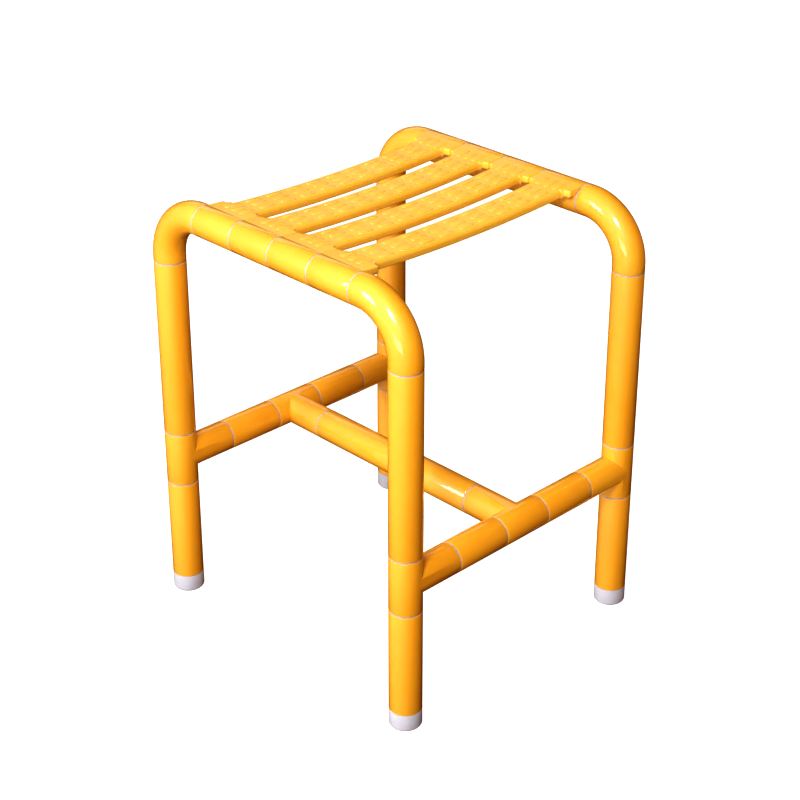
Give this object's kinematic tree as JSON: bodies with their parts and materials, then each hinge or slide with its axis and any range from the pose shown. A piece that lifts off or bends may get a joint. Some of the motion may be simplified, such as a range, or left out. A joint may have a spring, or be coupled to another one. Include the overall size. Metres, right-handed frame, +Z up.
{
  "type": "shower stool",
  "caption": "Backless shower stool: nylon-sheathed tube frame with rounded corners, dished slatted seat with anti-slip pads, and an H of rails near the floor.",
  "frame": {"origin": "on the floor, under the middle of the seat", "axes": "+X along the slats to the right, +Y to the back, +Z up; the top bars run along Y"},
  "size_m": [0.362, 0.394, 0.491],
  "materials": {
    "frame_nylon": "glossy",
    "slat_nylon": "satin",
    "joint_ring": "satin",
    "foot": "satin, slightly see-through",
    "steel_tube": "drawn tube",
    "cast_core": "as cast",
    "screw_steel": "plain"
  },
  "bodies": {
    "root": {"top_tube_left": "steel_tube", "top_tube_right": "steel_tube", "leg_tube_rear_left": "steel_tube", "leg_tube_front_left": "steel_tube", "leg_tube_front_right": "steel_tube", "leg_tube_rear_right": "steel_tube", "rail_tube_front": "steel_tube", "rail_tube_rear": "steel_tube", "stretcher_tube": "steel_tube", "elbow_core_rear_left": "cast_core", "elbow_core_front_left": "cast_core", "elbow_core_front_right": "cast_core", "elbow_core_rear_right": "cast_core", "elbow_rear_left": "frame_nylon", "elbow_front_left": "frame_nylon", "elbow_front_right": "frame_nylon", "elbow_rear_right": "frame_nylon", "upper_sleeve_rear_left": "frame_nylon", "upper_sleeve_front_left": "frame_nylon", "upper_sleeve_front_right": "frame_nylon", "upper_sleeve_rear_right": "frame_nylon", "leg_tee_rear_left": "frame_nylon", "leg_tee_front_left": "frame_nylon", "leg_tee_front_right": "frame_nylon", "leg_tee_rear_right": "frame_nylon", "lower_sleeve_rear_left": "frame_nylon", "lower_sleeve_front_left": "frame_nylon", "lower_sleeve_front_right": "frame_nylon", "lower_sleeve_rear_right": "frame_nylon", "foot_rear_left": "foot", "foot_front_left": "foot", "foot_front_right": "foot", "foot_rear_right": "foot", "slat_front": "slat_nylon", "slat_front_middle": "slat_nylon", "slat_rear_middle": "slat_nylon", "slat_rear": "slat_nylon", "rail_sleeve_front_left": "frame_nylon", "rail_sleeve_front_right": "frame_nylon", "rail_sleeve_rear_left": "frame_nylon", "rail_sleeve_rear_right": "frame_nylon", "centre_tee_front": "frame_nylon", "centre_tee_rear": "frame_nylon", "stretcher_sleeve": "frame_nylon", "rings_top_left": "joint_ring", "rings_top_right": "joint_ring", "rings_leg_rear_left": "joint_ring", "rings_leg_front_left": "joint_ring", "rings_leg_front_right": "joint_ring", "rings_leg_rear_right": "joint_ring", "rings_rail_front": "joint_ring", "rings_rail_rear": "joint_ring", "rings_stretcher": "joint_ring", "rail_screws_front": "screw_steel", "rail_screws_rear": "screw_steel", "stretcher_screws": "screw_steel"}
  },
  "joints": []
}
